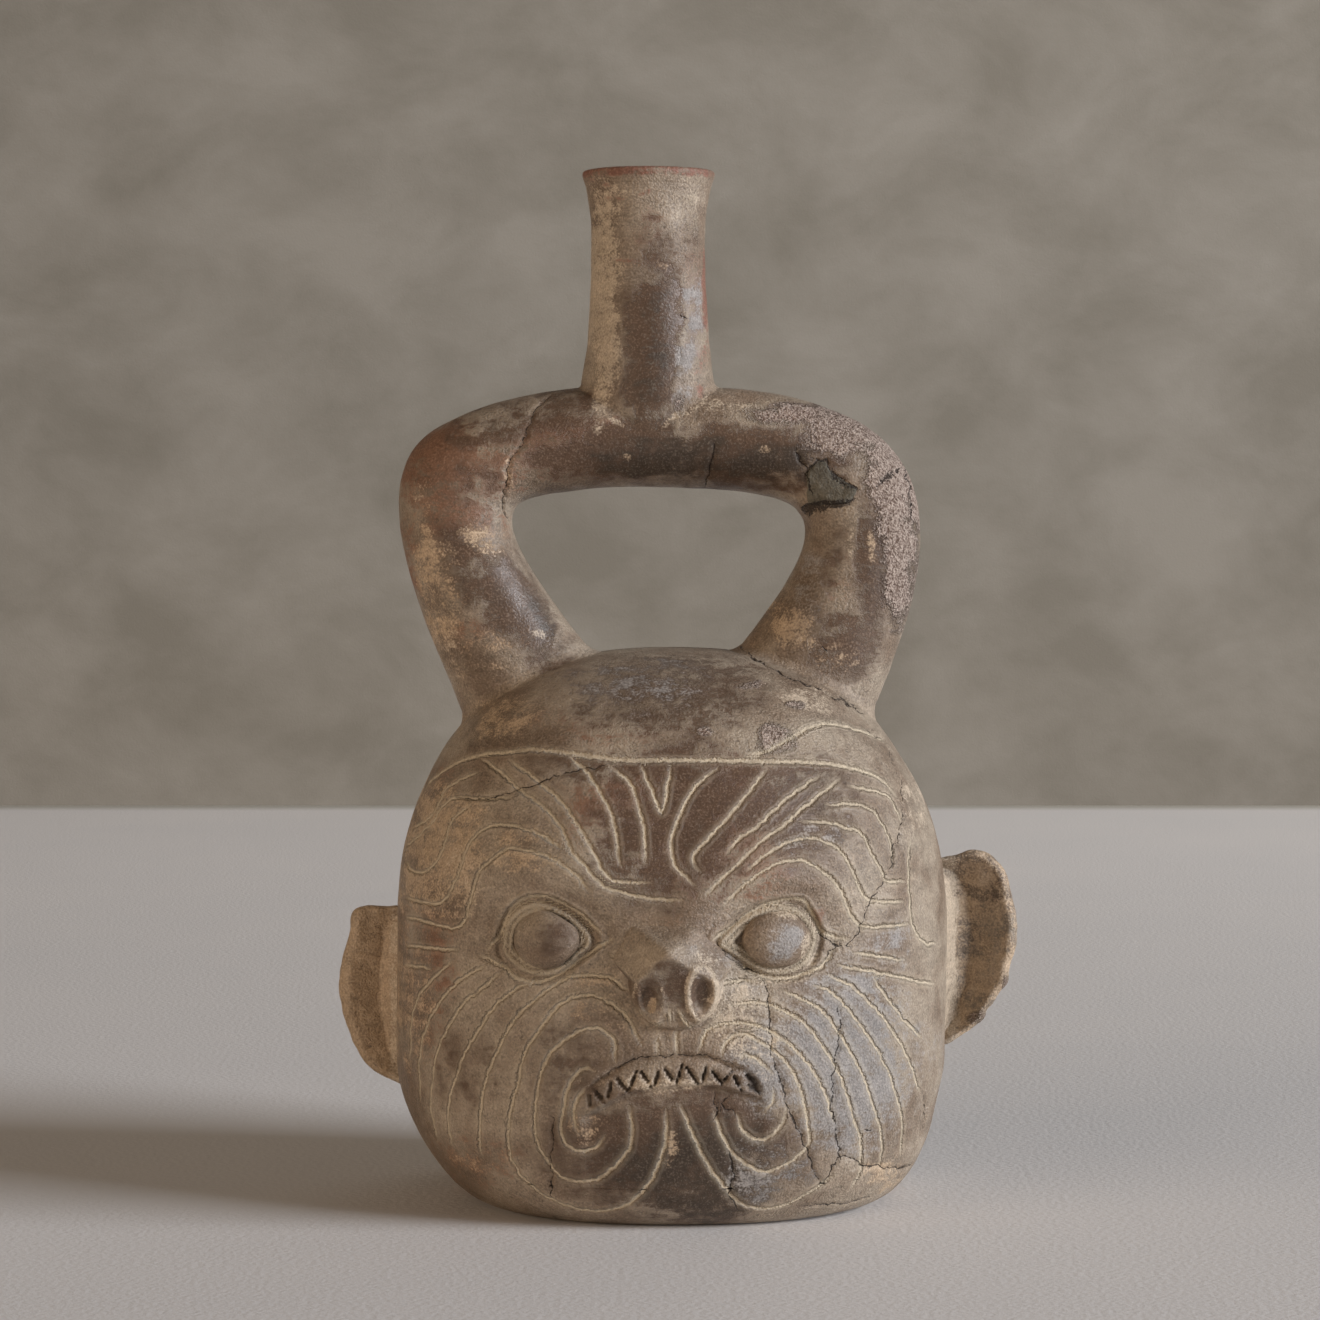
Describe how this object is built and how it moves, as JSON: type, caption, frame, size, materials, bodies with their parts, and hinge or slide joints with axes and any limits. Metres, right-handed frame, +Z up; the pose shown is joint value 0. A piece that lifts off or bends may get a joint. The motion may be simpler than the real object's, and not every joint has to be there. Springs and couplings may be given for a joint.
{
  "type": "stirrup spout bottle",
  "caption": "Hand-built clay stirrup-spout bottle in the form of a monkey's head, for liquid, standing on a flat base.",
  "frame": {"origin": "centre of the flat base, on the resting plane", "axes": "+Z up along the spout, face looking along -Y, +X at the viewer's right"},
  "size_m": [0.1617, 0.1388, 0.2453],
  "materials": {
    "clay": "burnished, unglazed",
    "smoked_clay": "burnished, smoke-clouded",
    "red_clay": "red slip, worn",
    "luting_clay": "matt, smoothed by hand",
    "grey_fill": "matt mineral fill"
  },
  "bodies": {
    "root": {"face_shell": "clay", "rear_shell": "clay", "base_dish": "clay", "left_ear": "clay", "right_ear": "clay", "left_eye": "smoked_clay", "right_eye": "smoked_clay", "nose": "smoked_clay", "left_leg": "smoked_clay", "right_leg": "smoked_clay", "crossbar": "smoked_clay", "spout": "clay", "spout_lip": "red_clay", "elbow_fill": "grey_fill", "left_leg_luting": "luting_clay", "right_leg_luting": "luting_clay", "spout_luting": "luting_clay", "left_seam_coil": "luting_clay", "right_seam_coil": "luting_clay", "crown_seam_coil": "luting_clay", "base_coil": "luting_clay"}
  },
  "joints": []
}
